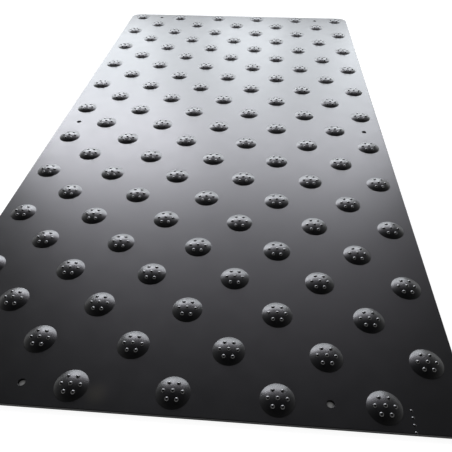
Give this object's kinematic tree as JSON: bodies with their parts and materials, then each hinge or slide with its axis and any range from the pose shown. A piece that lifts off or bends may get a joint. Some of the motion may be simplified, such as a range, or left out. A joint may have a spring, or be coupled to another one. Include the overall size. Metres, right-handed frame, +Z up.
{
  "type": "tactile paving panel",
  "caption": "Black moulded plastic tactile paving panel: thin plate with round corners, a staggered field of studded warning domes and screw holes for fixing it to a floor.",
  "frame": {"origin": "middle of the flat underside", "axes": "+X across the panel, +Y along it away from the viewer, +Z up out of the domed face"},
  "size_m": [0.42, 0.8224, 0.0058],
  "materials": {
    "panel": "satin gloss moulded black plastic"
  },
  "bodies": {
    "root": {"tactile_panel": "panel"}
  },
  "joints": []
}
